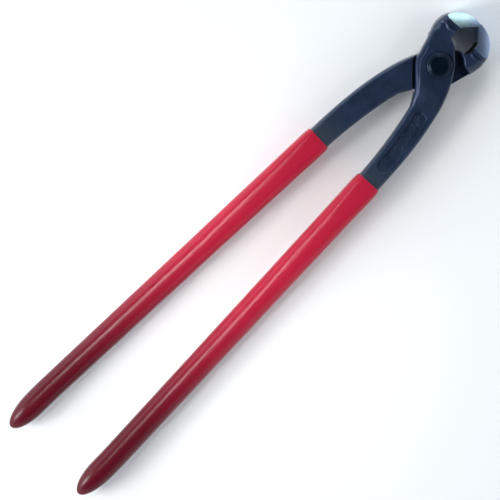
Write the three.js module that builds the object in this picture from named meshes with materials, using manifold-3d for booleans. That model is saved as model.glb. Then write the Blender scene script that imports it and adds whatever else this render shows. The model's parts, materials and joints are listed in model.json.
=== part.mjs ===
// End-cutting fencing pliers, 300 mm long: two forged levers, a pivot rivet and two dipped grips.
//
// Frame: origin on the pivot axis, in the plane that the closed tool lies on. +Y towards the jaws,
// +X to the right, +Z up through the pivot. The front lever is the upper one: its jaw is on the left
// and its handle on the right. The back lever is drawn the same way and turned half a turn about Y.
// The two forgings differ only in the round back of the jaw, which is fuller on the front lever.
// Every piece is drawn about the joint's middle plane (z = 0 there) and then lifted onto the base plane.
// All sizes are in millimetres.

import * as THREE from "three";
import { mergeVertices } from "three/addons/utils/BufferGeometryUtils.js";
import Module from "manifold-3d";

const wasm = await Module();
wasm.setup();

// ---- driving dimensions ----

// head, seen from above
const headRadius = 14.8;           // round back of the back lever's jaw
const headCentreY = 13.5;          // its centre, ahead of the pivot
const frontHeadRadius = 13.1;      // round back of the front lever's jaw
const frontHeadX = -2.8;           // its centre, out to the jaw's own side
const frontHeadY = 15.2;
const cuttingLand = 1.8;           // length of each cutting edge along Y
const throatHalfWidth = 6;         // half of the open space between the jaws
const throatWideY = 17.5;          // where that space is widest
const waistX = 10.8;               // half width at the waist
const waistY = -3.2;
const waistLean = 28;              // degrees that the arm's outer edge leans out from the waist

// thicknesses, along Z
const jawThickness = 22;
const lapThickness = 8.15;         // one half of the lap joint
const armThickness = 10;
const jawFlareStartY = 9;          // the jaws grow thicker from here
const jawFlareEndY = 19;           // to here
const armRampStartY = -11;         // the front of the half lap slopes down to the arm from here
const armRampEndY = -23;           // to here

// lap joint
const bossRadius = 11.7;           // round edge of a half lap, about the pivot
const bossEdgeDistance = 7.6;      // straight edge of a half lap beside the jaw
const bossClearance = 1.1;         // between that round edge and the other lever's arm
const jawShoulderRadius = 12;      // step from a jaw down to the floor of its half lap
const jawShoulderSlope = 0.2;

// arms and handles
const armEndX = 16.2;              // middle of an arm where its grip starts
const armEndY = -65;
const armEndWidth = 11.65;
const handleLean = 2.14;           // degrees that each handle leans out from the tool's axis
const panelDepth = 1;              // shallow sunk panel on the outer face of an arm
const panelWidth = 6.4;
const panelEndGap = 11;            // from the centre of its lower round end to the grip
const tangWidth = 9.4;             // forged bar inside a grip
const tangThickness = 8;
const tangTipGap = 9;              // from the end of the bar to the end of its grip

// grips
const gripEndY = -271.6;
const gripSideWall = 2.15;         // vinyl beside the bar, behind the lip
const gripEndSideWall = 1.3;       // and where the rounded end begins
const gripFaceWall = 2;            // vinyl over the bar's front and rear
const gripRoundLength = 17;        // length of the rounded end
const gripLipStep = 0.4;           // how much thinner the vinyl is at the very lip
const gripLipLength = 4;           // and the length over which it swells
const gripFlatness = 0.93;         // thickness of the round section as a share of its width

// rivet
const rivetHeadRadius = 5.8;
const rivetHeadHeight = 2.2;
const rivetHeadChamfer = 0.7;
const rivetShankRadius = 4;

// clearances
const runningGap = 0.3;            // between faces that slide on or rest against each other
const closedJawGap = 0.3;          // between the closed cutting edges
const sleeveGap = 0.3;             // between a bar or an arm and the grip

// drawing
const curveSteps = 12;
const far = 400;

// ---- values worked out from them ----

const halfJaw = jawThickness / 2;
const halfGap = runningGap / 2;
const lapTop = halfGap + lapThickness;
const halfArm = armThickness / 2;
const lean = THREE.MathUtils.degToRad(handleLean);
const outward = THREE.MathUtils.degToRad(waistLean);
const armShoulderRadius = bossRadius + bossClearance;
const handleStart = new THREE.Vector2(armEndX, armEndY);
const handleDirection = new THREE.Vector2(Math.sin(lean), -Math.cos(lean));
const handleAcross = new THREE.Vector2(Math.cos(lean), Math.sin(lean));
const gripLength = (armEndY - gripEndY) / Math.cos(lean);
const tangLength = gripLength - tangTipGap;
const crotch = new THREE.Vector2(1, -bossRadius * Math.SQRT2 - 1);
const backHead = { x: 0, y: headCentreY, radius: headRadius };
const frontHead = { x: frontHeadX, y: frontHeadY, radius: frontHeadRadius };

// ---- solids ----

function toManifold(geometry) {
  const bare = geometry.clone();
  bare.deleteAttribute("normal");
  bare.deleteAttribute("uv");
  const merged = mergeVertices(bare, 1e-4);
  return new wasm.Manifold(new wasm.Mesh({
    numProp: 3,
    vertProperties: Float32Array.from(merged.attributes.position.array),
    triVerts: Uint32Array.from(merged.index.array),
  }));
}

function toGeometry(solid) {
  const mesh = solid.getMesh();
  const geometry = new THREE.BufferGeometry();
  geometry.setAttribute("position", new THREE.BufferAttribute(mesh.vertProperties, 3));
  geometry.setIndex(new THREE.BufferAttribute(mesh.triVerts, 1));
  geometry.computeVertexNormals();
  return geometry;
}

// An outline in plan, raised from z = low to z = high.
function plate(shape, low, high) {
  const options = { depth: high - low, curveSegments: curveSteps, bevelEnabled: false };
  const geometry = new THREE.ExtrudeGeometry(shape, options);
  geometry.translate(0, 0, low);
  return toManifold(geometry);
}

// A side outline in (Y, Z), carried right across the tool along X.
function sideSlab(shape) {
  const geometry = new THREE.ExtrudeGeometry(shape, { depth: far, bevelEnabled: false });
  geometry.translate(0, 0, -far / 2);
  geometry.rotateX(Math.PI / 2);
  geometry.rotateZ(Math.PI / 2);
  return toManifold(geometry);
}

function cylinder(radius, low, high) {
  const geometry = new THREE.CylinderGeometry(radius, radius, high - low, 40);
  geometry.rotateX(Math.PI / 2);
  geometry.translate(0, 0, (low + high) / 2);
  return toManifold(geometry);
}

// ---- lever outline in plan, drawn for the front lever from its cutting edge and back round to it ----

// Round back of the head, then the straight taper that touches it and runs down to the waist.
function addHeadBack(path, head) {
  const startAngle = Math.acos((-closedJawGap / 2 - head.x) / head.radius);
  const toWaist = new THREE.Vector2(-waistX - head.x, waistY - head.y);
  const touchAngle = toWaist.angle() - Math.acos(head.radius / toWaist.length());
  path.absarc(head.x, head.y, head.radius, startAngle, touchAngle, false);
  path.lineTo(-waistX, waistY);
}

// Inner and outer edge of an arm, each a single curve that ends in line with the handle.
function armInnerCurve() {
  const start = new THREE.Vector2(crotch.x + 3.5, crotch.y - 6.7);
  const end = handleStart.clone().addScaledVector(handleAcross, -armEndWidth / 2);
  const fromCrotch = new THREE.Vector2(start.x + 2.6, start.y - 10);
  const intoHandle = end.clone().addScaledVector(handleDirection, -12);
  return new THREE.CubicBezierCurve(start, fromCrotch, intoHandle, end);
}

function armOuterCurve() {
  const start = handleStart.clone().addScaledVector(handleAcross, armEndWidth / 2);
  const end = new THREE.Vector2(waistX, waistY);
  const outOfHandle = start.clone().addScaledVector(handleDirection, -14.5);
  const toWaist = new THREE.Vector2(end.x + 20.5 * Math.sin(outward), end.y - 20.5 * Math.cos(outward));
  return new THREE.CubicBezierCurve(start, outOfHandle, toWaist, end);
}

// Round edge of the half lap, its straight run at 45 degrees, the crotch and the inner edge of the arm.
function addInnerEdge(path) {
  const start = Math.atan2(waistY, -waistX) + 2 * Math.PI;
  const { v0, v1, v2, v3 } = armInnerCurve();
  path.absarc(0, 0, bossRadius, start, 1.25 * Math.PI, false);
  path.lineTo(crotch.x, crotch.y);
  path.bezierCurveTo(crotch.x + 0.4, crotch.y - 1.7, v0.x - 1.5, v0.y + 3.2, v0.x, v0.y);
  path.bezierCurveTo(v1.x, v1.y, v2.x, v2.y, v3.x, v3.y);
}

// Outer edge of the arm, up to the waist.
function addOuterEdge(path) {
  const { v0, v1, v2, v3 } = armOuterCurve();
  path.lineTo(v0.x, v0.y);
  path.bezierCurveTo(v1.x, v1.y, v2.x, v2.y, v3.x, v3.y);
}

// Straight edge of the half lap beside the jaw, the wall of the throat, and the bevel to the cutting edge.
function addThroat(path) {
  const diagonal = bossEdgeDistance * Math.SQRT2;
  const turn = (diagonal - waistX - waistY) / (Math.cos(outward) - Math.sin(outward));
  const bend = new THREE.Vector2(waistX - turn * Math.sin(outward), waistY + turn * Math.cos(outward));
  const apexY = headCentreY + headRadius - cuttingLand;
  const wall = -throatHalfWidth;
  path.quadraticCurveTo(bend.x, bend.y, bend.x - 3, bend.y + 3);
  path.lineTo(1, diagonal - 1);
  path.bezierCurveTo(-2.4, diagonal + 2.4, wall + 0.8, 12, wall + 0.2, throatWideY - 3);
  path.quadraticCurveTo(wall - 0.2, throatWideY + 1.4, wall + 0.9, apexY + wall + 0.9);
  path.lineTo(-closedJawGap / 2, apexY);
}

// Corners of the bar inside a grip. `extra` makes it larger all round.
function tangCorners(start, extra) {
  const half = tangWidth / 2 + extra;
  const end = tangLength + extra;
  const stations = [[start, -1], [end - 4, -1], [end, -0.4], [end, 0.4], [end - 4, 1], [start, 1]];
  return stations.map(([along, side]) => handleStart.clone()
    .addScaledVector(handleDirection, along)
    .addScaledVector(handleAcross, side * half));
}

function leverOutline(head) {
  const outline = new THREE.Shape();
  addHeadBack(outline, head);
  addInnerEdge(outline);
  tangCorners(0, 0).forEach((corner) => outline.lineTo(corner.x, corner.y));
  addOuterEdge(outline);
  addThroat(outline);
  return outline;
}

// What is missing from one half of a lever: the pocket that the other lever's half lap turns in.
function lapPocketOutline() {
  const pocket = new THREE.Shape();
  const side = 2 * headRadius;
  const jawCorner = jawShoulderRadius * Math.SQRT1_2;
  const armCorner = armShoulderRadius * Math.SQRT1_2;
  const waistTurn = Math.PI / 12;
  pocket.moveTo(-side, jawCorner - jawShoulderSlope * (side - jawCorner));
  pocket.lineTo(-jawCorner, jawCorner);
  pocket.absarc(0, 0, jawShoulderRadius, 0.75 * Math.PI, 0.5 * Math.PI, true);
  pocket.lineTo(side, jawShoulderRadius);
  pocket.lineTo(side, -armShoulderRadius * Math.sin(waistTurn));
  pocket.absarc(0, 0, armShoulderRadius, -waistTurn, -Math.PI / 4, true);
  pocket.lineTo(armCorner - side, -armCorner - side);
  pocket.lineTo(-side, -armCorner - side);
  return pocket;
}

// Side of the front lever: arm, ramp up to the half lap, flare up to the jaw, and the jaw's underside.
function leverSide() {
  const side = new THREE.Shape();
  side.moveTo(-far, -halfArm);
  side.lineTo(-2, -halfArm);
  side.lineTo(2, -lapTop);
  side.lineTo(jawFlareStartY, -lapTop);
  side.lineTo(jawFlareEndY, -halfJaw);
  side.lineTo(far, -halfJaw);
  side.lineTo(far, halfJaw);
  side.lineTo(jawFlareEndY, halfJaw);
  side.lineTo(jawFlareStartY, lapTop);
  side.lineTo(armRampStartY, lapTop);
  side.lineTo(armRampEndY, halfArm);
  side.lineTo(-far, halfArm);
  return side;
}

// The step from the arm's face down to the bar's face, along the whole bar; sign picks the face.
function aboveTang(sign) {
  const box = new THREE.BoxGeometry(far, far, far);
  box.translate(0, -far / 2, sign * (tangThickness + far) / 2);
  box.rotateZ(lean);
  box.translate(handleStart.x, handleStart.y, 0);
  return toManifold(box);
}

// Where an arm's edge is at a given Y, by halving.
function edgeX(curve, y) {
  const falling = curve.v0.y > curve.v3.y;
  let low = 0;
  let high = 1;
  for (let i = 0; i < 30; i += 1) {
    const middle = (low + high) / 2;
    if ((curve.getPoint(middle).y > y) === falling) low = middle;
    else high = middle;
  }
  return curve.getPoint(low).x;
}

// Sunk panel along the middle of the arm, with round ends.
function panelOutline() {
  const inner = armInnerCurve();
  const outer = armOuterCurve();
  const half = panelWidth / 2;
  const firstY = armRampEndY - 2;
  const lastY = armEndY + panelEndGap;
  const middle = [];
  for (let i = 0; i <= curveSteps; i += 1) {
    const y = THREE.MathUtils.lerp(firstY, lastY, i / curveSteps);
    middle.push(new THREE.Vector2((edgeX(inner, y) + edgeX(outer, y)) / 2, y));
  }
  const outline = new THREE.Shape();
  outline.absarc(middle[0].x, firstY, half, 0, Math.PI, false);
  middle.slice(1).forEach((p) => outline.lineTo(p.x - half, p.y));
  outline.absarc(middle[curveSteps].x, lastY, half, Math.PI, 2 * Math.PI, false);
  middle.slice(1, -1).reverse().forEach((p) => outline.lineTo(p.x + half, p.y));
  return outline;
}

// ---- pieces ----

function makeLever(head) {
  const blank = plate(leverOutline(head), -halfJaw, halfJaw);
  const pocket = plate(lapPocketOutline(), -far, halfGap);
  const panel = plate(panelOutline(), halfArm - panelDepth, far);
  const bore = cylinder(rivetShankRadius + runningGap, -far, far);
  return blank
    .intersect(sideSlab(leverSide()))
    .subtract(aboveTang(1))
    .subtract(aboveTang(-1))
    .subtract(pocket)
    .subtract(panel)
    .subtract(bore);
}

// Half width of a grip at a distance from its lip: swelling lip, slow taper, half-ellipse end.
function gripRadius(along) {
  const bodyLength = gripLength - gripRoundLength;
  const wall = THREE.MathUtils.lerp(gripSideWall, gripEndSideWall, Math.min(along / bodyLength, 1));
  const lip = 1 - Math.min(along / gripLipLength, 1);
  const past = Math.max(along - bodyLength, 0) / gripRoundLength;
  return (tangWidth / 2 + wall - lip * lip * gripLipStep) * Math.sqrt(Math.max(1 - past * past, 0));
}

// Sleeve over the bar: a flattened solid of revolution along the handle, hollowed for the bar.
function makeGrip() {
  const stations = [0, 1.3, 2.6, gripLipLength, 60, 120, gripLength - gripRoundLength];
  for (let i = 1; i <= 8; i += 1) {
    stations.push(gripLength - gripRoundLength * (1 - Math.sin(i / 8 * Math.PI / 2)));
  }
  const lipStart = sleeveGap;
  const profile = stations.map((along) => new THREE.Vector2(gripRadius(along), -Math.max(along, lipStart)));
  profile[profile.length - 1].x = 0;
  profile.unshift(new THREE.Vector2(0, -lipStart));
  const body = new THREE.LatheGeometry(profile.reverse(), 28);
  body.scale(1, 1, gripFlatness);
  body.rotateZ(lean);
  body.translate(handleStart.x, handleStart.y, 0);
  const slab = new THREE.BoxGeometry(far, 2 * far, tangThickness + 2 * gripFaceWall);
  const cavity = new THREE.Shape(tangCorners(-2, sleeveGap));
  const halfCavity = tangThickness / 2 + sleeveGap;
  return toManifold(body)
    .intersect(toManifold(slab))
    .subtract(plate(cavity, -halfCavity, halfCavity));
}

// Flush rear head, shank and proud front head.
function makeRivet() {
  const under = lapTop + runningGap;
  const top = under + rivetHeadHeight;
  const edge = rivetHeadRadius - rivetHeadChamfer;
  const rim = rivetHeadRadius;
  const rearHead = [[0, -halfJaw], [edge, -halfJaw], [rim, -halfJaw + rivetHeadChamfer], [rim, -under]];
  const shank = [[rivetShankRadius, -under], [rivetShankRadius, under]];
  const frontHead = [[rim, under], [rim, top - rivetHeadChamfer], [edge, top], [0, top]];
  const profile = [...rearHead, ...shank, ...frontHead];
  const geometry = new THREE.LatheGeometry(profile.map(([r, z]) => new THREE.Vector2(r, z)), 40);
  geometry.rotateX(Math.PI / 2);
  return toManifold(geometry);
}

// ---- materials ----

function forgedSteel() {
  return new THREE.MeshStandardMaterial({ color: 0x2a333d, roughness: 0.42, metalness: 0.85 });
}

function rivetSteel() {
  return new THREE.MeshStandardMaterial({ color: 0x1c242b, roughness: 0.45, metalness: 0.85 });
}

function dippedPlastic() {
  return new THREE.MeshStandardMaterial({ color: 0xb81f36, roughness: 0.25, metalness: 0 });
}

// ---- assembly ----

function piece(name, solid, material) {
  const mesh = new THREE.Mesh(toGeometry(solid), material);
  mesh.name = name;
  return mesh;
}

const frontSide = new THREE.Group();
frontSide.add(piece("front_lever", makeLever(frontHead), forgedSteel()));
frontSide.add(piece("front_grip", makeGrip(), dippedPlastic()));

const backSide = new THREE.Group();
backSide.add(piece("back_lever", makeLever(backHead), forgedSteel()));
backSide.add(piece("back_grip", makeGrip(), dippedPlastic()));
backSide.rotation.y = Math.PI;

const pliers = new THREE.Group();
pliers.add(frontSide, backSide, piece("pivot_rivet", makeRivet(), rivetSteel()));
pliers.position.z = halfJaw;

export default pliers;
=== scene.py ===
"""Looks of the end-cutting fencing pliers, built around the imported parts.

Shape functions work in millimetres in the parts' own frame: +Y towards the jaws, +Z up through the pivot.
new_piece() turns the finished points into metres. The back lever is drawn as the front one is, and then
turned half a turn about the tool's long axis; only the round back, the grinding and one rounded corner
of its jaw are different.
"""

import json
import math

import bmesh
import bpy
import numpy as np
from mathutils import Matrix, Vector


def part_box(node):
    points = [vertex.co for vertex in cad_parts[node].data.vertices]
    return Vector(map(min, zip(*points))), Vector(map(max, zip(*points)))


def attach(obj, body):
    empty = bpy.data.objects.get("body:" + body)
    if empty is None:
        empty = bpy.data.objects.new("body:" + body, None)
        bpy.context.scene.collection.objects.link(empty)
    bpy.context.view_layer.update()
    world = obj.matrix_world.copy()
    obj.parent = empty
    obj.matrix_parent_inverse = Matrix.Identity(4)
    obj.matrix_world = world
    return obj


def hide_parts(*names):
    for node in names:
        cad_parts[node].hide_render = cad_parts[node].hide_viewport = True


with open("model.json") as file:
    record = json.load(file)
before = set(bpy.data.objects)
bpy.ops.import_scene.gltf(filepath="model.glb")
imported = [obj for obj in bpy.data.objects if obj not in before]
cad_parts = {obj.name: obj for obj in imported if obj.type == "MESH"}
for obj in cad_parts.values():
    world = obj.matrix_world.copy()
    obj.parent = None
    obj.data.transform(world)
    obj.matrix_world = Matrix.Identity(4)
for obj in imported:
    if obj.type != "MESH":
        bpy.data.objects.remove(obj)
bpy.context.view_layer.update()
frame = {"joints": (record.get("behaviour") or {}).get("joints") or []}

MM = 0.001

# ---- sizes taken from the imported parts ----

JOINT = frame["joints"][0]
MIDDLE_Z = JOINT["pos_m"][2] / MM
LEVER_LOW, LEVER_HIGH = (np.array(corner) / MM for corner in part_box("front_lever"))
RIVET_LOW, RIVET_HIGH = (np.array(corner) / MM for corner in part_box("pivot_rivet"))
HALF_JAW = (LEVER_HIGH[2] - LEVER_LOW[2]) / 2
GRIP_END_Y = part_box("front_grip")[0][1] / MM
RIVET_RADIUS = RIVET_HIGH[0]

# ---- plan of a lever ----

# Round back of each jaw: centre and radius.
FRONT_HEAD = (np.array([-2.8, 15.2]), 13.1)
BACK_HEAD = (np.array([0.0, 13.5]), 14.8)
NOSE_Y = 28.3
CLOSED_GAP = 0.1
CUTTING_LAND = 1.8
THROAT_HALF = 6.0
THROAT_WIDE_Y = 17.5

# The waist between the half lap and the arm, and the lean of the edge there.
WAIST = np.array([10.8, -3.2])
WAIST_LEAN = math.radians(28)

# The half lap: a round edge about the pivot and a straight diagonal edge facing the other jaw.
BOSS_RADIUS = 11.7
BOSS_EDGE = 7.6 * math.sqrt(2)
CROTCH = np.array([1.0, -BOSS_RADIUS * math.sqrt(2) - 1])
JAW_SHOULDER_RADIUS = 12.0
JAW_SHOULDER_SLOPE = 0.2
ARM_SHOULDER_RADIUS = 12.8

# The handle leans outwards; ALONG runs down it, away from the jaws, and ACROSS to its outer side.
LEAN = math.radians(2.14)
HANDLE_START = np.array([16.2, -65.0])
ALONG = np.array([math.sin(LEAN), -math.cos(LEAN)])
ACROSS = np.array([math.cos(LEAN), math.sin(LEAN)])
ARM_HALF_WIDTH = 5.83
BAR_HALF_WIDTH = 4.7
GRIP_LENGTH = (HANDLE_START[1] - GRIP_END_Y) / math.cos(LEAN)
BAR_LENGTH = GRIP_LENGTH - 9

# ---- heights from the joint's middle plane ----

LAP_FLOOR = 0.15
LAP_TOP = 8.3
ARM_FACE = 5.0
BAR_FACE = 4.0

# ---- fineness of the meshes, in points or sections ----

FACE_POINTS = 61
CORNER_POINTS = 12
WALL_POINTS = 9
JAW_SECTIONS = 96
LAP_SECTIONS = 86
ARM_SECTIONS = 130
BAR_SECTIONS = 40
SHOULDER_POINTS = 200
ROUND_POINTS = 96
SHARP_ANGLE = math.radians(38)
# Points closer than this, in metres, are merged.
SAME_POINT = 1e-7


# ---- curves in plan ----

def line(start, end, count=20):
    """Points on the straight line from start to end."""
    t = np.linspace(0, 1, count)[:, None]
    return np.asarray(start) * (1 - t) + np.asarray(end) * t


def arc(centre, radius, first, last, count=60):
    """Points on a circle of that centre and radius, from angle first to angle last, in radians."""
    angle = np.linspace(first, last, count)
    return np.asarray(centre) + radius * np.stack([np.cos(angle), np.sin(angle)], axis=-1)


def bezier(*corners, count=60):
    """Points on the Bezier curve of two, three or four corners: Bernstein weights times the corners."""
    t = np.linspace(0, 1, count)[:, None]
    degree = len(corners) - 1
    weights = [math.comb(degree, k) * t**k * (1 - t) ** (degree - k) for k in range(degree + 1)]
    return sum(weight * np.asarray(corner) for weight, corner in zip(weights, corners))


def join(*runs):
    """One run of points out of several that follow on, without the doubled ends."""
    return np.concatenate([runs[0]] + [run[1:] for run in runs[1:]])


def lengths(points):
    """Distance along a run of points, from its first point to each one."""
    steps = np.linalg.norm(np.diff(points, axis=0), axis=1)
    return np.concatenate([[0], np.cumsum(steps)])


def at_length(points, where):
    """Points at the given distances along a run of points."""
    along = lengths(points)
    return np.stack([np.interp(where, along, points[:, k]) for k in range(2)], axis=-1)


def nearest_length(points, target):
    """Distance along a run of points to the one nearest the target."""
    return lengths(points)[np.argmin(np.linalg.norm(points - target, axis=1))]


def smooth(low, high, value):
    """0 below low, 1 above high, and the cubic 3t^2 - 2t^3 between them."""
    t = np.clip((value - low) / (high - low), 0, 1)
    return t * t * (3 - 2 * t)


def lever_left_edge(head):
    """Left edge of a lever, from cutting edge to bar end: arc, tangent, arc, diagonal, two curves."""
    centre, radius = head
    start = math.acos((-CLOSED_GAP / 2 - centre[0]) / radius)
    left_waist = WAIST * (-1, 1)
    to_waist = left_waist - centre
    touch = math.atan2(to_waist[1], to_waist[0]) + 2 * math.pi - math.acos(radius / np.hypot(*to_waist))
    jaw_back = arc(centre, radius, start, touch, 160)
    waist_angle = math.atan2(left_waist[1], left_waist[0]) + 2 * math.pi
    boss = arc((0, 0), BOSS_RADIUS, waist_angle, 1.25 * math.pi)
    arm_start = CROTCH + (3.5, -6.7)
    arm_end = HANDLE_START - ACROSS * ARM_HALF_WIDTH
    crotch = bezier(CROTCH, CROTCH + (0.4, -1.7), arm_start + (-1.5, 3.2), arm_start)
    arm = bezier(arm_start, arm_start + (2.6, -10), arm_end - ALONG * 12, arm_end, count=160)
    return join(jaw_back, line(jaw_back[-1], left_waist, 60), boss, line(boss[-1], CROTCH, 60), crotch, arm,
                bar_edge(-1))


def lever_right_edge():
    """Right edge of the front lever: bevel, throat wall, straight edge of the half lap, waist, arm."""
    apex = np.array([-CLOSED_GAP / 2, NOSE_Y - CUTTING_LAND])
    wall_end = np.array([-THROAT_HALF + 0.9, apex[1] - THROAT_HALF + 0.9])
    wall = bezier(wall_end, (-THROAT_HALF - 0.2, THROAT_WIDE_Y + 1.4),
                  (-THROAT_HALF + 0.2, THROAT_WIDE_Y - 3))
    shoulder = bezier(wall[-1], (-THROAT_HALF + 0.8, 12), (-2.4, BOSS_EDGE + 2.4), (1, BOSS_EDGE - 1))
    sine, cosine = math.sin(WAIST_LEAN), math.cos(WAIST_LEAN)
    turn = (BOSS_EDGE - WAIST.sum()) / (cosine - sine)
    bend = WAIST + turn * np.array([-sine, cosine])
    waist = bezier(bend + (-3, 3), bend, WAIST)
    arm_end = HANDLE_START + ACROSS * ARM_HALF_WIDTH
    arm = bezier(WAIST, WAIST + 20.5 * np.array([sine, -cosine]), arm_end - ALONG * 14.5, arm_end, count=200)
    return join(line(apex, wall_end, 60), wall, shoulder, line(shoulder[-1], waist[0], 40), waist, arm,
                bar_edge(1))


def bar_edge(side):
    """Edge of the handle bar inside its grip: full width past the lip, then a step in to the bar."""
    along = np.array([0, 4, 8, BAR_LENGTH - 4, BAR_LENGTH])
    half = np.array([ARM_HALF_WIDTH, ARM_HALF_WIDTH, BAR_HALF_WIDTH, BAR_HALF_WIDTH, BAR_HALF_WIDTH * 0.5])
    corners = HANDLE_START + along[:, None] * ALONG + side * half[:, None] * ACROSS
    return join(*[line(a, b, 30) for a, b in zip(corners[:-1], corners[1:])])


def jaw_shoulder(across, left_edge):
    """Where the jaw steps down to its half lap, for shares 0 to 1 across the lever: a line, then an arc."""
    corner = np.array([-1, 1]) * JAW_SHOULDER_RADIUS * math.sqrt(0.5)
    outer = corner + np.array([-6, -6 * JAW_SHOULDER_SLOPE])
    step = arc((0, 0), JAW_SHOULDER_RADIUS, 0.75 * math.pi, 0.55 * math.pi, 40)
    curve = join(line(outer, corner, 30), step)
    return between_edges(curve, across, left_edge)


def arm_shoulder(across, left_edge):
    """Where the arm steps down to its half lap: the diagonal from the crotch, an arc round the pivot."""
    corner = np.array([1, -1]) * ARM_SHOULDER_RADIUS * math.sqrt(0.5)
    step = arc((0, 0), ARM_SHOULDER_RADIUS, -0.25 * math.pi, -0.1 * math.pi, 40)
    curve = join(line(corner - 14, corner, 60), step)
    return between_edges(curve, across, left_edge)


def between_edges(curve, across, left_edge):
    """The stretch of a curve that lies between the lever's two edges, at even shares of its length."""
    ends = []
    for edge in (left_edge, RIGHT_EDGE):
        gaps = np.linalg.norm(curve[:, None] - edge[None], axis=-1)
        ends.append(lengths(curve)[np.unravel_index(np.argmin(gaps), gaps.shape)[0]])
    return at_length(curve, ends[0] + (ends[1] - ends[0]) * across)


RIGHT_EDGE = lever_right_edge()


# ---- surface of a lever ----

# How strongly a face's points crowd towards its edges: 0 evenly spaced, 1 as a cosine.
CROWDING = 0.35
# Kinds of point in a section, as profile() numbers them.
TOP, TOP_RIGHT, RIGHT_WALL, LOW_RIGHT, BOTTOM, LOW_LEFT, LEFT_WALL, TOP_LEFT = range(8)


def profile():
    """The closed section's points in order: top face left to right, corner, wall, bottom face, wall, corner.

    Returns the kind of each point and its share. A corner's share runs from its face (0) to its wall (1);
    a wall's share runs downwards on the right and upwards on the left.
    """
    counts = [FACE_POINTS, CORNER_POINTS, WALL_POINTS, CORNER_POINTS] * 2
    kinds = []
    shares = []
    for kind, count in enumerate(counts):
        share = np.linspace(0, 1, count + 2)[1:-1]
        if kind in (TOP, BOTTOM):
            even = np.linspace(0, 1, count)
            share = 0.5 - 0.5 * np.cos(np.pi * even) * CROWDING + (1 - CROWDING) * (even - 0.5)
        if kind in (LOW_RIGHT, TOP_LEFT):
            share = 1 - share
        kinds.append(np.full(count, kind))
        shares.append(share)
    return np.concatenate(kinds), np.concatenate(shares)


def stations(left_edge):
    """Where each section lies: its distance along both edges, and how much of each shape it has.

    Returns the distances on the left and right edge, the bow of the two shoulder curves, and the weights
    of the jaw's underside, the lap floor and the arm's underside. A shoulder is a few sections set close
    together, over which the underside changes level with a small fillet.
    """
    jaw_ends = jaw_shoulder(np.array([0.0, 1.0]), left_edge)
    arm_ends = arm_shoulder(np.array([0.0, 1.0]), left_edge)
    keys = np.array([
        [0, 0],
        [nearest_length(left_edge, jaw_ends[0]), nearest_length(RIGHT_EDGE, jaw_ends[1])],
        [nearest_length(left_edge, arm_ends[0]), nearest_length(RIGHT_EDGE, arm_ends[1])],
        [nearest_length(left_edge, HANDLE_START - ACROSS * ARM_HALF_WIDTH),
         nearest_length(RIGHT_EDGE, HANDLE_START + ACROSS * ARM_HALF_WIDTH)],
        [lengths(left_edge)[-1], lengths(RIGHT_EDGE)[-1]],
    ])
    # Across a shoulder: offsets along both edges, and how far the underside has changed level there.
    wall = np.array([-0.8, -0.52, -0.28, -0.1, 0.0, 0.06, 0.1, 0.14, 0.2, 0.32, 0.5])
    level = np.array([0.0, 0.01, 0.03, 0.06, 0.1, 0.3, 0.6, 0.84, 0.95, 0.99, 1.0])
    rows = []
    for t in np.linspace(0, 1, JAW_SECTIONS):
        rows.append([*(keys[0] * (1 - t) + (keys[1] + wall[0]) * t), t**4, 0, 1, 0, 0])
    for offset, share in zip(wall[1:], level[1:]):
        rows.append([*(keys[1] + offset), 1, 0, 1 - share, share, 0])
    for t in np.linspace(0, 1, LAP_SECTIONS)[1:-1]:
        place = (keys[1] + wall[-1]) * (1 - t) + (keys[2] - wall[-1]) * t
        rows.append([*place, 1 - smooth(0, 1, t), smooth(0, 1, t), 0, 1, 0])
    for offset, share in zip(wall[::-1], level[::-1]):
        rows.append([*(keys[2] - offset), 0, 1, 0, share, 1 - share])
    for t in np.linspace(0, 1, ARM_SECTIONS)[1:]:
        rows.append([*((keys[2] - wall[0]) * (1 - t) + keys[3] * t), 0, (1 - t) ** 5, 0, 0, 1])
    for t in np.linspace(0, 1, BAR_SECTIONS)[1:]:
        rows.append([*(keys[3] * (1 - t**1.5) + keys[4] * t**1.5), 0, 0, 0, 0, 1])
    return np.array(rows).T


def forged_top(x, y):
    """Height of the forged upper face before grinding: arm, ramp, half lap, flare, hollow, step up to nose.

    The hollow and the ridge beside it are Gaussians along Y that wander a little across the jaw, as the
    forging die left them. The seat is a shallow Gaussian ring round the rivet's head.
    """
    wander = 0.5 * np.sin(0.9 * x + 0.6)
    flare = 0.9 * smooth(8.5, 15.5, y) + 3.6 * smooth(18.3, 21.7, y)
    hollow = 0.55 * np.exp(-(((y - 18.7 - wander) / 1.1) ** 2))
    ridge = 0.6 * np.exp(-(((y - 16.6 - wander) / 0.7) ** 2))
    ramp = (LAP_TOP - ARM_FACE) * smooth(-9.5, -24.5, y)
    seat = 0.35 * np.exp(-(((np.hypot(x, y) - RIVET_RADIUS - 0.5) / 0.5) ** 2))
    return LAP_TOP + flare - hollow + ridge - ramp - seat


def forged_bottom(x, y):
    """The jaw's underside as a height below the middle plane: the same flare, hollow and step as on top."""
    wander = 0.4 * np.sin(1.1 * x + 2.2)
    flare = 0.9 * smooth(6.5, 13.5, y) + 3.6 * smooth(16.1, 19.5, y)
    hollow = 0.45 * np.exp(-(((y - 16.6 - wander) / 1.0) ** 2))
    ridge = 0.4 * np.exp(-(((y - 14.8 - wander) / 0.7) ** 2))
    return LAP_TOP + flare - hollow + ridge


def ground_face(x, y, slope, crown):
    """Height of the nose's ground side: full thickness at the throat, sloped and crowned to the outside."""
    outward = np.clip((y - x) * math.sqrt(0.5) - 16.5, 0, 10)
    return HALF_JAW - slope * outward - crown * outward**2


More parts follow.
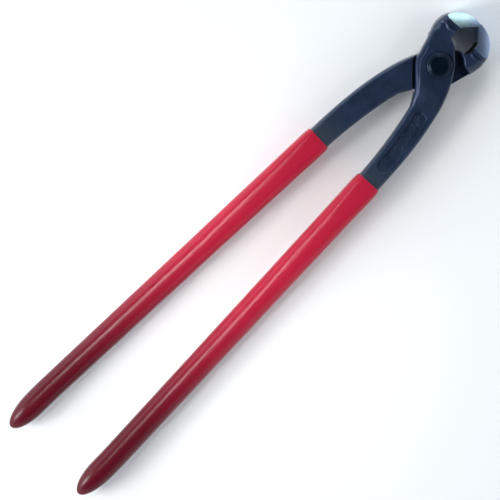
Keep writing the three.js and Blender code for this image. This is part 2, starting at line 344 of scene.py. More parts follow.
def panel_drop(x, y):
    """How deep the sunk panel lies below the arm's face: a capsule with a soft rim and low lumps of scale.

    The lumps are six sine waves that run in different directions with unrelated pitches.
    """
    first = np.array([11.5, -25.0])
    last = np.array([15.55, -54.0])
    bow = 0.9 * np.sin(np.pi * np.clip((y - first[1]) / (last[1] - first[1]), 0, 1))
    axis = last - first
    share = np.clip(((x - bow - first[0]) * axis[0] + (y - first[1]) * axis[1]) / (axis @ axis), 0, 1)
    distance = np.hypot(x - bow - first[0] - share * axis[0], y - first[1] - share * axis[1])
    floor = 1 - smooth(2.95, 3.3, distance)
    lumps = sum(
        np.sin(pitch * (x * math.cos(turn) + y * math.sin(turn)) + 5 * turn)
        for pitch, turn in ((1.3, 0.3), (1.9, 1.2), (2.6, 2.3), (3.3, 0.8), (2.2, 2.9), (4.1, 1.9)))
    rough = 0.055 * lumps * (1 - smooth(1.9, 2.8, distance)) * smooth(-52, -46, y)
    return 1.0 * floor - rough


CORNER_LIMIT = 0.45
# Lowest Y of the ground faces, and where the bright part of the left and right walls starts.
GROUND_FROM_Y = 12.0
LEFT_WALL_GROUND_Y = 22.0
RIGHT_WALL_GROUND_Y = 21.0


def corner_sizes(y_left, y_right, width, shoulder_round):
    """Insets, then drops, of the rounded corners of each section: top left, top right, low right, low left.

    The jaw, the half lap and the arm have their own sizes, faded into each other along the lever, and
    shoulder_round is added at the outer end of the jaw's shoulder. No corner is wider than CORNER_LIMIT of
    the lever's width.
    """
    head = smooth(9, 13, y_left)
    arm = 1 - smooth(-24, -12, y_left)
    boss = (1 - head) * (1 - arm)
    low_jaw = head * (1 - smooth(11, 17, y_left))
    shoulder = shoulder_round * smooth(1, 5, y_left) * (1 - smooth(9, 16, y_left))
    left_inset = 2.8 * head + 1.0 * low_jaw + 2.3 * boss + 1.7 * arm + shoulder
    left_drop = 2.6 * head + 1.4 * low_jaw + 1.5 * boss + 1.6 * arm + shoulder
    throat = smooth(10, 12, y_right)
    right_inset = 0.6 * throat + 1.2 * (1 - throat) * (1 - arm) + 1.7 * arm
    right_drop = 0.6 * throat + 0.9 * (1 - throat) * (1 - arm) + 1.6 * arm
    low_left = (0.3 + (5.2 - 2.2 * smooth(10, 17, y_left)) * smooth(7, 9, y_left)) * (1 - arm) + 1.7 * arm
    low_right = (0.3 + 0.3 * throat) * (1 - arm) + 1.7 * arm
    sizes = (left_inset, right_inset, low_right, low_left, left_drop, right_drop, low_right, low_left)
    return [np.minimum(size, CORNER_LIMIT * width) for size in sizes]


def lever_surface(head, top_grind, low_grind, shoulder_round):
    """Points of a lever, and its edge, ground and throat fields, on a grid of sections along the lever.

    A section runs straight across from the left edge to the right edge, bowed to follow a shoulder where
    one is near. Its profile is a rectangle from the underside to the top with elliptical corners, and the
    ground faces of the nose cut off what stands above them. Beside the half lap the top left corner is a
    flat chamfer with a crease. The edge field is highest at the middle of a corner or on the crease; on
    the crease it stands for rubbed wear and also paints a highlight line. The ground field is above 0 on
    ground metal, and the throat field is 1 on the throat's wall, where the finish paints it black as shade.
    top_grind and low_grind are the slope and crown of the two ground faces.
    """
    left_edge = lever_left_edge(head)
    left_at, right_at, jaw_bow, arm_bow, jaw_share, lap_share, arm_share = stations(left_edge)
    left = at_length(left_edge, left_at)
    right = at_length(RIGHT_EDGE, right_at)
    chord = right - left
    width = np.linalg.norm(chord, axis=1)
    kind, share = profile()
    insets_drops = corner_sizes(left[:, 1], right[:, 1], width, shoulder_round)
    corner_of = {TOP_LEFT: 0, TOP_RIGHT: 1, LOW_RIGHT: 2, LOW_LEFT: 3}
    chamfer = smooth(6, -1, left[:, 1]) * smooth(-21, -17, left[:, 1])
    side = np.zeros((len(width), len(kind)))
    drop = np.zeros_like(side)
    edge = np.zeros_like(side)
    for corner_kind, index in corner_of.items():
        here = kind == corner_kind
        turn = share[here] * np.pi / 2
        flat = chamfer[:, None] * (index == 0)
        bevel = (0.24 * smooth(0, 0.16, share[here]) + 0.3 * share[here]
                 + 0.92 * smooth(0.7, 1.1, share[here]))
        inset = insets_drops[index][:, None] * (1 - np.sin(turn) * (1 - flat) - share[here] * flat)
        side[:, here] = inset / width[:, None] if index in (0, 3) else 1 - inset / width[:, None]
        drop[:, here] = insets_drops[index + 4][:, None] * ((1 - np.cos(turn)) * (1 - flat) + bevel * flat)
        # On the chamfer's crease the edge field is partly rubbed wear and partly a painted highlight line.
        crease = np.exp(-((share[here] - 0.06) / 0.12) ** 2)
        edge[:, here] = np.sin(2 * turn) ** 0.5 * (1 - flat) + crease * flat
    for face_kind, low, high in ((TOP, 0, 1), (BOTTOM, 3, 2)):
        here = kind == face_kind
        first = (insets_drops[low] / width)[:, None]
        last = 1 - (insets_drops[high] / width)[:, None]
        along = share[here] if face_kind == TOP else 1 - share[here]
        side[:, here] = first + (last - first) * along
    side[:, kind == RIGHT_WALL] = 1
    place = left[:, None] + side[..., None] * chord[:, None]
    even = np.linspace(0, 1, SHOULDER_POINTS)
    for shoulder, weight in ((jaw_shoulder, jaw_bow), (arm_shoulder, arm_bow)):
        curve = shoulder(even, left_edge)
        bow = curve - line(curve[0], curve[-1], SHOULDER_POINTS)
        shift = np.stack([np.interp(side, even, bow[:, k]) for k in range(2)], axis=-1)
        place = place + weight[:, None, None] * shift
    x, y = place[..., 0], place[..., 1]
    bar = smooth(4, 8, (HANDLE_START - place) @ -ALONG)
    bar_step = bar * (ARM_FACE - BAR_FACE)
    top_forged = forged_top(x, y) - panel_drop(x, y) - bar_step - drop
    top_ground = ground_face(x, y, *top_grind)
    low_forged = forged_bottom(x, y) - drop
    low_ground = ground_face(x, y, *low_grind)
    jaw_low = -np.minimum(low_forged, low_ground)
    lap_low = LAP_FLOOR + drop
    arm_low = -(ARM_FACE - bar_step - drop)
    low = jaw_low * jaw_share[:, None] + lap_low * lap_share[:, None] + arm_low * arm_share[:, None]
    on_top = np.isin(kind, (TOP_LEFT, TOP, TOP_RIGHT))
    z = np.where(on_top, np.minimum(top_forged, top_ground), low)
    ground = np.where(on_top, top_forged - top_ground, low_forged - low_ground)
    ground = np.where(y > GROUND_FROM_Y, ground, -1.0)
    # A wall runs straight down between the ends of the corners above and below it.
    upper, lower = np.nonzero(kind == TOP_RIGHT)[0][-1], np.nonzero(kind == LOW_RIGHT)[0][0]
    here = kind == RIGHT_WALL
    z[:, here] = z[:, [upper]] + (z[:, [lower]] - z[:, [upper]]) * share[here]
    ground[:, here] = y[:, here] - RIGHT_WALL_GROUND_Y
    upper, lower = np.nonzero(kind == TOP_LEFT)[0][0], np.nonzero(kind == LOW_LEFT)[0][-1]
    here = kind == LEFT_WALL
    z[:, here] = z[:, [upper]] + (z[:, [lower]] - z[:, [upper]]) * (1 - share[here])
    ground[:, here] = y[:, here] - LEFT_WALL_GROUND_Y
    in_throat = smooth(8, 10, y) * smooth(THROAT_HALF + 6, THROAT_HALF, np.abs(x))
    throat = np.where(np.isin(kind, (RIGHT_WALL, LOW_RIGHT)), in_throat, 0)
    points = np.stack([x, y, z + MIDDLE_Z], axis=-1)
    return points, {"edge": edge, "ground": ground, "throat": throat}


# ---- meshes ----

def new_piece(name, points, fields, body, material, slot, replaces, caps=(True, True)):
    """A closed piece from a grid of sections: quads between them, and flat faces over its ends.

    caps says whether the first and the last section get a face; an end that closes to a point needs none.
    """
    rows, columns = points.shape[:2]
    index = np.arange(rows * columns).reshape(rows, columns)
    nxt = np.roll(index, -1, axis=1)
    quads = np.stack([index[:-1], index[1:], nxt[1:], nxt[:-1]], axis=-1).reshape(-1, 4)
    faces = quads.tolist()
    if caps[0]:
        faces.append(index[0].tolist())
    if caps[1]:
        faces.append(index[-1][::-1].tolist())
    mesh = bpy.data.meshes.new(name)
    mesh.from_pydata((points.reshape(-1, 3) * MM).tolist(), [], faces)
    for field, values in fields.items():
        layer = mesh.attributes.new(field, "FLOAT", "POINT")
        layer.data.foreach_set("value", values.astype(np.float32).ravel())
    tidy = bmesh.new()
    tidy.from_mesh(mesh)
    bmesh.ops.remove_doubles(tidy, verts=tidy.verts, dist=SAME_POINT)
    bmesh.ops.recalc_face_normals(tidy, faces=tidy.faces)
    tidy.to_mesh(mesh)
    tidy.free()
    mesh.shade_smooth()
    mesh.set_sharp_from_angle(angle=SHARP_ANGLE)
    mesh.materials.append(material)
    piece = bpy.data.objects.new(name, mesh)
    bpy.context.scene.collection.objects.link(piece)
    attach(piece, body)
    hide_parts(replaces)


def turned_over(points):
    """The points half a turn about the tool's long axis in the middle plane: X and height change sign."""
    return points * (-1, 1, -1) + (0, 0, 2 * MIDDLE_Z)


# The grip: length of its rounded end, outer half width and half height behind the lip, and inner ones
# round the arm at the lip.
TIP_LENGTH = 17.0
GRIP_HALF_WIDTH = 6.85
GRIP_HALF_HEIGHT = 6.0
LIP_HALF_WIDTH = 6.0
LIP_HALF_HEIGHT = 5.12
LIP_WALL = 0.5
# Superellipse powers: outside at the lip, inside at the lip, and inside round the bar.
LIP_POWER = 5.2
ARM_POWER = 7.0
BAR_POWER = 4.4


def grip_surface(lip_shift):
    """A sock of vinyl over the handle bar: along the outside from the tip, round the lip and back inside.

    Sections are superellipses |x/a|^n + |z/b|^n = 1 about the handle's axis, squarish at the lip and nearly
    elliptical from 90 mm down. Outside, the half width tapers slowly, swells behind the lip and closes in a
    half-ellipse; inside it fits the bar. lip_shift moves the lip along the handle and fades out in 30 mm.
    """
    straight = GRIP_LENGTH - TIP_LENGTH
    outside = np.sort(np.concatenate([
        GRIP_LENGTH - TIP_LENGTH * (1 - np.sin(np.linspace(0, np.pi / 2, 30))),
        np.linspace(4, straight, 90),
        np.linspace(LIP_WALL, 4, 14)[:-1],
    ]))[::-1]
    past = np.clip((outside - straight) / TIP_LENGTH, 0, 1)
    closing = np.sqrt(np.clip(1 - past**2, 0, 1))
    taper = np.clip(outside / straight, 0, 1)
    lip = np.clip(1 - outside / 4.2, 0, 1)
    half_width = (GRIP_HALF_WIDTH - 0.85 * taper - 0.35 * lip**2) * closing
    half_height = (GRIP_HALF_HEIGHT - 0.25 * taper - 0.38 * lip**2) * closing
    power = LIP_POWER - 2.1 * smooth(0, 28, outside) - 0.75 * smooth(25, 90, outside)
    turn = np.linspace(0, np.pi / 2, 7)
    lip_along = LIP_WALL - LIP_WALL * np.sin(turn)
    lip_width = LIP_HALF_WIDTH + LIP_WALL * np.cos(turn)
    lip_height = LIP_HALF_HEIGHT + LIP_WALL * np.cos(turn)
    inside = np.concatenate([[1.5, 3.5, 7.5], np.linspace(12, BAR_LENGTH + 0.5, 30)])
    deep = smooth(3.5, 7.5, inside)
    in_width = LIP_HALF_WIDTH - 1.0 * deep
    in_height = LIP_HALF_HEIGHT - 0.8 * deep
    along = np.concatenate([outside, lip_along, inside, [BAR_LENGTH + 0.6]])
    a = np.concatenate([half_width, lip_width, in_width, [0]])
    b = np.concatenate([half_height, lip_height, in_height, [0]])
    in_power = ARM_POWER - (ARM_POWER - BAR_POWER) * deep
    power = np.concatenate([power, np.linspace(LIP_POWER, ARM_POWER, 7), in_power, [BAR_POWER]])
    angle = np.linspace(0, 2 * np.pi, ROUND_POINTS + 1)[:-1]
    cosine, sine = np.cos(angle), np.sin(angle)
    radius = (np.abs(cosine) ** power[:, None] + np.abs(sine) ** power[:, None]) ** (-1 / power[:, None])
    across = a[:, None] * radius * cosine
    height = b[:, None] * radius * sine
    shift = lip_shift * np.clip(1 - along / 30, 0, 1)
    inward = 0.7 * smooth(GRIP_LENGTH - 26, GRIP_LENGTH, along)
    centre = HANDLE_START + (along + shift)[:, None] * ALONG - inward[:, None] * ACROSS
    plan = centre[:, None] + across[..., None] * ACROSS
    return np.concatenate([plan, (height + MIDDLE_Z)[..., None]], axis=-1)


SHANK_RADIUS = 4.0
DOME_RISE = 0.06


def rivet_surface():
    """Rivet turned about the pivot axis: flush rear head, shank, and a proud front head with a soft dome.

    Its outline runs from the middle of the rear head, round its rim and up the shank, to the middle of
    the front head; the dome rises as the cubic 3t^2 - 2t^3 towards the middle.
    """
    rim = RIVET_RADIUS
    low, high = RIVET_LOW[2], RIVET_HIGH[2]
    under = LAP_TOP + 0.05
    dome = np.linspace(0, 1, 24)[1:-1]
    profile_radius = np.concatenate([
        [0], (rim - 0.6) * (1 - dome[::-1]), [rim - 0.6, rim - 0.2, rim],
        [rim, SHANK_RADIUS, SHANK_RADIUS, rim],
        [rim, rim - 0.2, rim - 0.9, rim - 1.6], (rim - 1.6) * (1 - dome), [0]])
    profile_height = np.concatenate([
        [low], np.full(len(dome), low), [low, low + 0.15, low + 0.6],
        [MIDDLE_Z - under, MIDDLE_Z - under, MIDDLE_Z + under, MIDDLE_Z + under],
        [high - 1.15, high - 0.7, high - 0.36, high - DOME_RISE],
        high - DOME_RISE + DOME_RISE * smooth(0, 1, dome), [high]])
    angle = np.linspace(0, 2 * np.pi, ROUND_POINTS + 1)[:-1]
    x = profile_radius[:, None] * np.cos(angle)
    y = profile_radius[:, None] * np.sin(angle)
    z = np.broadcast_to(profile_height[:, None], x.shape)
    edge = np.where((profile_radius > rim - 1) & (profile_height > high - 0.8), 0.35, 0.1)
    return np.stack([x, y, z], axis=-1), {"edge": np.broadcast_to(edge[:, None], x.shape)}


# ---- shared effects ----

def link(tree, source, output, target, socket):
    """Join one node's output to another's input."""
    tree.links.new(source.outputs[output], target.inputs[socket])


def add(tree, kind, settings=None, inputs=None):
    """A node of the given kind with its settings, and its input sockets set or linked.

    An input is a value, or a pair (node, output name) to link from.
    """
    node = tree.nodes.new("ShaderNode" + kind)
    for key, value in (settings or {}).items():
        setattr(node, key, value)
    for key, value in (inputs or {}).items():
        if isinstance(value, tuple) and isinstance(value[0], bpy.types.Node):
            tree.links.new(value[0].outputs[value[1]], node.inputs[key])
        else:
            node.inputs[key].default_value = value
    return node


def effect(name, inputs, outputs):
    """An empty shader node group with float inputs (name: default) and float outputs."""
    tree = bpy.data.node_groups.new(name, "ShaderNodeTree")
    for label, default in inputs.items():
        socket = tree.interface.new_socket(name=label, in_out="INPUT", socket_type="NodeSocketFloat")
        socket.default_value = default
    for label in outputs:
        tree.interface.new_socket(name=label, in_out="OUTPUT", socket_type="NodeSocketFloat")
    return tree, tree.nodes.new("NodeGroupInput"), tree.nodes.new("NodeGroupOutput")


def make_grain():
    """Grain: coarse clouds and fine specks from noise on Object coordinates, as a tone and a height."""
    inputs = {"Coarse Scale": 120, "Fine Scale": 1400, "Fine Share": 0.4}
    tree, start, end = effect("surface_grain", inputs, ("Tone", "Height"))
    place = add(tree, "TexCoord")
    coarse = add(tree, "TexNoise", inputs={"Vector": (place, "Object"), "Scale": (start, "Coarse Scale"),
                                           "Detail": 4.0, "Roughness": 0.6})
    fine = add(tree, "TexNoise", inputs={"Vector": (place, "Object"), "Scale": (start, "Fine Scale"),
                                         "Detail": 3.0, "Roughness": 0.55})
    tone = add(tree, "Mix", inputs={"Factor": (start, "Fine Share"), "A": (coarse, "Fac"),
                                    "B": (fine, "Fac")})
    stretch = add(tree, "MapRange", inputs={"Value": (tone, "Result"), "From Min": 0.3, "From Max": 0.7})
    link(tree, stretch, "Result", end, "Tone")
    link(tree, tone, "Result", end, "Height")
    return tree


def make_edge_wear():
    """Edge wear: the piece's edge field, broken up by noise, and raised above a threshold."""
    inputs = {"Edge": 0, "Noise Scale": 500, "Reach": 0.5, "Amount": 1}
    tree, start, end = effect("edge_wear", inputs, ("Mask",))
    place = add(tree, "TexCoord")
    noise = add(tree, "TexNoise", inputs={"Vector": (place, "Object"), "Scale": (start, "Noise Scale"),
                                          "Detail": 5.0, "Roughness": 0.65})
    spread = add(tree, "MapRange", inputs={"Value": (noise, "Fac"), "From Min": 0.3, "From Max": 0.7,
                                           "To Min": -0.5, "To Max": 0.5})
    reach = add(tree, "Math", {"operation": "MULTIPLY"}, {0: (spread, "Result"), 1: (start, "Reach")})
    both = add(tree, "Math", {"operation": "ADD"}, {0: (start, "Edge"), 1: (reach, "Value")})
    step = add(tree, "MapRange", {"interpolation_type": "SMOOTHSTEP"},
               {"Value": (both, "Value"), "From Min": 0.45, "From Max": 1.15})
    mask = add(tree, "Math", {"operation": "MULTIPLY"}, {0: (step, "Result"), 1: (start, "Amount")})
    link(tree, mask, "Value", end, "Mask")
    return tree


GRAIN = make_grain()
EDGE_WEAR = make_edge_wear()


def place_effect(tree, group, inputs):
    """One use of a shared effect with its own values."""
    return add(tree, "Group", {"node_tree": group}, inputs)


def blend(tree, factor, first, second):
    """Mix two colours by a factor; each is a colour or a (node, output) pair."""
    node = add(tree, "Mix", {"data_type": "RGBA"})
    tree.links.new(factor[0].outputs[factor[1]], node.inputs["Factor"])
    for socket, value in (("A", first), ("B", second)):
        target = [item for item in node.inputs if item.name == socket and item.type == "RGBA"][0]
        if isinstance(value[0], bpy.types.Node):
            output = [item for item in value[0].outputs if item.name == value[1] and item.enabled][0]
            tree.links.new(output, target)
        else:
            target.default_value = (*value, 1)
    return node


def colour_of(node):
    """The colour output of a blend node."""
    return [item for item in node.outputs if item.type == "RGBA"][0]


def fresh(name):
    """A new material with nodes, and its shader."""
    material = bpy.data.materials.new(name)
    material.use_nodes = True
    return material, material.node_tree, material.node_tree.nodes["Principled BSDF"]


# ---- materials ----

OXIDE_DARK = (0.011, 0.019, 0.044)
OXIDE_LIGHT = (0.021, 0.038, 0.082)
OXIDE_HANDLED = (0.040, 0.052, 0.070)
RUBBED_STEEL = (0.055, 0.066, 0.088)
# Lit and shaded copies of ground steel: painted highlight and reflection for the left jaw, painted shade for
# the right.
GROUND_STEEL_PAINTED_LIT = (0.44, 0.66, 0.70)
GROUND_STEEL_PAINTED_SHADE = (0.33, 0.44, 0.68)
# Painted shade: near-black for the deep throat's walls.
THROAT_SHADE_BLACK = (0.002, 0.002, 0.003)
RIVET_DARK = (0.0006, 0.0025, 0.006)
RIVET_LIGHT = (0.0015, 0.005, 0.010)
VINYL_RED = (0.41, 0.010, 0.034)
VINYL_DEEP = (0.37, 0.008, 0.029)
# Painted shade: the grips' red darkens to this towards their ends.
VINYL_END_SHADE = (0.085, 0.002, 0.009)


def forged_steel_finish():
    """Blue-black oxide over forged steel: cloudy tone, fine scale, rubbed edges, bright ground nose faces.

    Ground faces carry straight grinding lines across the jaws: noise on Object coordinates squeezed along Y.
    On the left jaw they are painted brighter and greener, a painted highlight and reflection, and on the
    right jaw darker and bluer, painted shade. The oxide is paler by the grips; the throat's walls are
    painted black and rougher, painted shade deep in the throat.
    """
    material, tree, shader = fresh("blued_forged_steel")
    edge = add(tree, "Attribute", {"attribute_name": "edge"})
    ground = add(tree, "Attribute", {"attribute_name": "ground"})
    grain = place_effect(tree, GRAIN, {"Coarse Scale": 95, "Fine Scale": 1300, "Fine Share": 0.35})
    wear = place_effect(tree, EDGE_WEAR, {"Edge": (edge, "Fac"), "Noise Scale": 420, "Reach": 0.7,
                                          "Amount": 0.28})
    ground_mask = add(tree, "MapRange", {"interpolation_type": "SMOOTHSTEP"},
                      {"Value": (ground, "Fac"), "From Min": -0.03, "From Max": 0.05})
    place = add(tree, "TexCoord")
    squeeze = add(tree, "Mapping", inputs={"Vector": (place, "Object"), "Rotation": (0, 0, math.radians(35)),
                                           "Scale": (40, 2600, 40)})
    lines = add(tree, "TexNoise", inputs={"Vector": (squeeze, "Vector"), "Scale": 1.0, "Detail": 1.0})
    split = add(tree, "SeparateXYZ", inputs={"Vector": (place, "Object")})
    near_grip = add(tree, "MapRange", {"interpolation_type": "SMOOTHSTEP"},
                    {"Value": (split, "Y"), "From Min": -0.050, "From Max": -0.066, "To Max": 0.75})
    blued = blend(tree, (grain, "Tone"), OXIDE_DARK, OXIDE_LIGHT)
    oxide = blend(tree, (near_grip, "Result"), (blued, "Result"), OXIDE_HANDLED)
    rubbed = blend(tree, (wear, "Mask"), (oxide, "Result"), RUBBED_STEEL)
    # Painted shade: the throat's walls are blended to near-black and made rougher, as shade deep in the
    # throat.
    throat = add(tree, "Attribute", {"attribute_name": "throat"})
    worn = blend(tree, (throat, "Fac"), (rubbed, "Result"), THROAT_SHADE_BLACK)
    line_tone = add(tree, "MapRange", inputs={"Value": (lines, "Fac"), "From Min": 0.2, "From Max": 0.8})
    # Painted light: the left jaw's ground faces get the brighter, greener colour, a painted highlight and
    # reflection; the right jaw's get the darker, bluer one, painted shade.
    left_jaw_painted_light = add(tree, "MapRange", {"interpolation_type": "SMOOTHSTEP"},
                    {"Value": (split, "X"), "From Min": -0.001, "From Max": -0.008})
    ground_tone = add(tree, "Math", {"operation": "MULTIPLY"},
                      {0: (line_tone, "Result"), 1: (left_jaw_painted_light, "Result")})
    share = add(tree, "Math", {"operation": "MULTIPLY_ADD"},
                {0: (left_jaw_painted_light, "Result"), 1: 0.5, 2: (ground_tone, "Value")})
    painted_ground_light = blend(tree, (share, "Value"), GROUND_STEEL_PAINTED_SHADE, GROUND_STEEL_PAINTED_LIT)
    base = blend(tree, (ground_mask, "Result"), (worn, "Result"), (painted_ground_light, "Result"))
    tree.links.new(colour_of(base), shader.inputs["Base Color"])
    metal = add(tree, "MapRange", inputs={"Value": (ground_mask, "Result"), "To Min": 0.35, "To Max": 1.0})
    shader.inputs["Specular IOR Level"].default_value = 0.35
    link(tree, metal, "Result", shader, "Metallic")
    oxide_rough = add(tree, "MapRange", inputs={"Value": (grain, "Tone"), "To Min": 0.27, "To Max": 0.40})
    ground_rough = add(tree, "MapRange", inputs={"Value": (lines, "Fac"), "To Min": 0.24, "To Max": 0.38})
    throat_rough = add(tree, "Mix", inputs={"Factor": (throat, "Fac"), "A": (oxide_rough, "Result"),
                                           "B": 0.9})
    rough = add(tree, "Mix", inputs={"Factor": (ground_mask, "Result"), "A": (throat_rough, "Result"),
                                     "B": (ground_rough, "Result")})
    link(tree, rough, "Result", shader, "Roughness")
    oxide_bump = add(tree, "Bump", inputs={"Height": (grain, "Height"), "Strength": 0.32,
                                           "Distance": 0.0004})
    line_height = add(tree, "Math", {"operation": "MULTIPLY"},
                      {0: (lines, "Fac"), 1: (ground_mask, "Result")})
    line_bump = add(tree, "Bump", inputs={"Height": (line_height, "Value"), "Strength": 0.1,
                                          "Distance": 0.00008, "Normal": (oxide_bump, "Normal")})
    link(tree, line_bump, "Normal", shader, "Normal")
    return material


def rivet_finish():
    """Blackened rivet: dark oxide with faint turned rings about its axis and a rubbed rim."""
    material, tree, shader = fresh("blackened_rivet")
    edge = add(tree, "Attribute", {"attribute_name": "edge"})
    grain = place_effect(tree, GRAIN, {"Coarse Scale": 260, "Fine Scale": 2200, "Fine Share": 0.5})
    wear = place_effect(tree, EDGE_WEAR, {"Edge": (edge, "Fac"), "Noise Scale": 700, "Reach": 0.5,
                                          "Amount": 0.15})
    oxide = blend(tree, (grain, "Tone"), RIVET_DARK, RIVET_LIGHT)
    worn = blend(tree, (wear, "Mask"), (oxide, "Result"), RUBBED_STEEL)
    tree.links.new(colour_of(worn), shader.inputs["Base Color"])
    shader.inputs["Specular IOR Level"].default_value = 0.25
    shader.inputs["Specular Tint"].default_value = (0.5, 0.75, 1, 1)
    rough = add(tree, "MapRange", inputs={"Value": (grain, "Tone"), "To Min": 0.24, "To Max": 0.34})
    link(tree, rough, "Result", shader, "Roughness")
    place = add(tree, "TexCoord")
    rings = add(tree, "TexWave", {"wave_type": "RINGS", "rings_direction": "Z"},
                {"Vector": (place, "Object"), "Scale": 520.0, "Distortion": 1.5, "Detail": 2.0})
    height = add(tree, "Mix", inputs={"Factor": 0.35, "A": (grain, "Height"), "B": (rings, "Fac")})
    bump = add(tree, "Bump", inputs={"Height": (height, "Result"), "Strength": 0.22, "Distance": 0.0002})
    link(tree, bump, "Normal", shader, "Normal")
    return material


def vinyl_finish():
    """Glossy dipped vinyl: red with faint clouds, slow runs and dimples, and painted shade towards the ends.
    """
    material, tree, shader = fresh("dipped_red_vinyl")
    grain = place_effect(tree, GRAIN, {"Coarse Scale": 22, "Fine Scale": 260, "Fine Share": 0.15})
    place = add(tree, "TexCoord")
    split = add(tree, "SeparateXYZ", inputs={"Vector": (place, "Object")})
    # Painted shade: darker towards the grips' ends, where less light falls.
    end_shade = add(tree, "MapRange", {"interpolation_type": "SMOOTHSTEP"},
                  {"Value": (split, "Y"), "From Min": -0.12, "From Max": -0.24})
    clean = blend(tree, (grain, "Tone"), VINYL_DEEP, VINYL_RED)
    base = blend(tree, (end_shade, "Result"), (clean, "Result"), VINYL_END_SHADE)
    tree.links.new(colour_of(base), shader.inputs["Base Color"])
    rough = add(tree, "MapRange", inputs={"Value": (grain, "Tone"), "To Min": 0.28, "To Max": 0.31})
    link(tree, rough, "Result", shader, "Roughness")
    shader.inputs["IOR"].default_value = 1.5
    shader.inputs["Specular IOR Level"].default_value = 0.24
    shader.inputs["Coat Weight"].default_value = 0.06
    shader.inputs["Coat Roughness"].default_value = 0.15
    long_way = add(tree, "Mapping", inputs={"Vector": (place, "Object"), "Scale": (260, 34, 260)})
    runs = add(tree, "TexNoise", inputs={"Vector": (long_way, "Vector"), "Scale": 1.0, "Detail": 2.0})
    run_bump = add(tree, "Bump", inputs={"Height": (runs, "Fac"), "Strength": 0.22, "Distance": 0.0005})
    dimples = add(tree, "Bump", inputs={"Height": (grain, "Height"), "Strength": 0.04, "Distance": 0.0001,
                                        "Normal": (run_bump, "Normal")})
    link(tree, dimples, "Normal", shader, "Normal")
    return material


forged = forged_steel_finish()
blackened = rivet_finish()
vinyl = vinyl_finish()

# ---- assembly ----

# Slope and crown of the ground faces, upper then lower, before the back lever is turned over.
FRONT_GRIND = ((0.05, 0.017), (0.02, 0.01))
BACK_GRIND = ((0.02, 0.01), (0.0, 0.012))
BACK_SHOULDER_ROUND = 3.0
FRONT_LIP_SHIFT = -0.7
BACK_LIP_SHIFT = 1.3

front_points, front_fields = lever_surface(FRONT_HEAD, *FRONT_GRIND, 0.0)
back_points, back_fields = lever_surface(BACK_HEAD, *BACK_GRIND, BACK_SHOULDER_ROUND)
new_piece("front_forging", front_points, front_fields, "front", forged, "forged_steel", "front_lever")
new_piece("back_forging", turned_over(back_points), back_fields, "back", forged, "forged_steel",
          "back_lever")
new_piece("pivot_rivet_turned", *rivet_surface(), "back", blackened, "rivet_steel", "pivot_rivet",
          caps=(False, False))
new_piece("front_grip_dipped", grip_surface(FRONT_LIP_SHIFT), {}, "front", vinyl, "dipped_grip",
          "front_grip", caps=(False, False))
new_piece("back_grip_dipped", turned_over(grip_surface(BACK_LIP_SHIFT)), {}, "back", vinyl, "dipped_grip",
          "back_grip", caps=(False, False))

# ---- stage ----

FLOOR_HALF = 3.0
PAPER_WHITE = (0.88, 0.88, 0.88, 1)

floor_mesh = bpy.data.meshes.new("floor")
corners = [(-FLOOR_HALF, -FLOOR_HALF, 0), (FLOOR_HALF, -FLOOR_HALF, 0), (FLOOR_HALF, FLOOR_HALF, 0),
           (-FLOOR_HALF, FLOOR_HALF, 0)]
floor_mesh.from_pydata(corners, [], [(0, 1, 2, 3)])
floor = bpy.data.objects.new("floor", floor_mesh)
bpy.context.scene.collection.objects.link(floor)
paper, _, paper_shader = fresh("paper")
paper_shader.inputs["Base Color"].default_value = PAPER_WHITE
paper_shader.inputs["Roughness"].default_value = 0.9
floor_mesh.materials.append(paper)


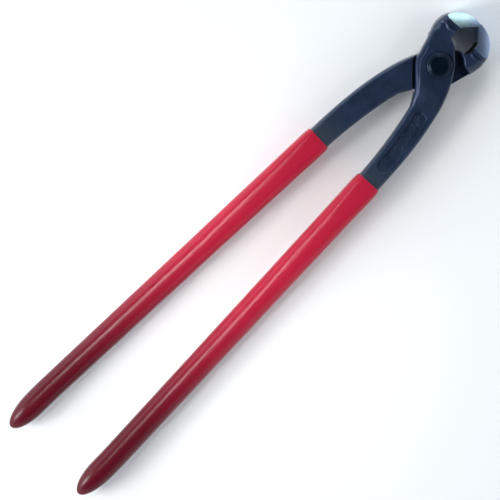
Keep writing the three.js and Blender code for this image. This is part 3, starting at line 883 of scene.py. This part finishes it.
def studio_air():
    """Soft light from all round: brighter on the left, dimmer on the right and dark overhead.

    Its strength falls from the horizon's to the zenith's by the height of the direction looked in.
    """
    world = bpy.data.worlds.new("studio")
    bpy.context.scene.world = world
    world.use_nodes = True
    tree = world.node_tree
    place = add(tree, "TexCoord")
    split = add(tree, "SeparateXYZ", inputs={"Vector": (place, "Generated")})
    ring = add(tree, "MapRange", {"interpolation_type": "SMOOTHSTEP"},
               {"Value": (split, "Z"), "From Min": 0.76, "From Max": 0.45, "To Min": 0.02, "To Max": 2.7})
    side = add(tree, "MapRange", inputs={"Value": (split, "X"), "From Min": -0.8, "From Max": 0.8,
                                         "To Min": 1.0, "To Max": 0.38})
    strength = add(tree, "Math", {"operation": "MULTIPLY"}, {0: (ring, "Result"), 1: (side, "Result")})
    tree.nodes["Background"].inputs["Color"].default_value = (0.85, 0.93, 1, 1)
    link(tree, strength, "Value", tree.nodes["Background"], "Strength")


studio_air()


def softbox(name, place, target, size, power, spread=180):
    """A rectangular area light aimed at a point; spread is its beam angle in degrees."""
    light = bpy.data.lights.new(name, "AREA")
    light.spread = math.radians(spread)
    light.shape = "RECTANGLE"
    light.size, light.size_y = size
    light.energy = power
    obj = bpy.data.objects.new(name, light)
    obj.location = place
    obj.rotation_euler = (Vector(target) - Vector(place)).to_track_quat("-Z", "Y").to_euler()
    bpy.context.scene.collection.objects.link(obj)


# Lamps in metres and watts: a window from the left and the handles' end, two that light the ground nose
# faces, a narrow one for the streak along the grips, and a weak wide one from the right.
softbox("window", (-0.36, -0.66, 0.55), (0, -0.08, 0), (0.26, 0.26), 4.2)
softbox("nose_lamp", (-0.36, 0.42, 0.80), (0, 0.02, 0), (0.2, 0.2), 0.75)
softbox("streak_lamp", (-0.15, -0.17, 0.58), (0, -0.175, 0), (0.15, 0.13), 0.03, 22)
softbox("right_nose_lamp", (0.40, 0.42, 0.78), (0, 0.02, 0), (0.2, 0.2), 0.09, 60)
softbox("fill", (0.95, 0.1, 0.6), (0, -0.1, 0), (0.6, 1.0), 1.2)

camera_data = bpy.data.cameras.new("camera")
camera = bpy.data.objects.new("camera", camera_data)
bpy.context.scene.collection.objects.link(camera)
bpy.context.scene.camera = camera

# The camera looks almost straight down, with the jaws towards the upper right. Metres.
DISTANCE = 3.2
VIEW_WIDTH = 0.2435
TARGET = Vector((-0.0014, -0.1285, 0.011))
TILT = math.radians(4.2)
SENSOR = 36
direction = Vector((-math.sin(TILT), 0, math.cos(TILT)))
camera.location = TARGET + direction * DISTANCE
up = Vector((-1, 1, 0)).normalized()
right = up.cross(direction).normalized()
up = direction.cross(right).normalized()
camera.rotation_euler = Matrix((right, up, direction)).transposed().to_euler()
camera_data.sensor_width = SENSOR
camera_data.lens = SENSOR * DISTANCE / VIEW_WIDTH
bpy.context.scene.view_settings.view_transform = "Standard"
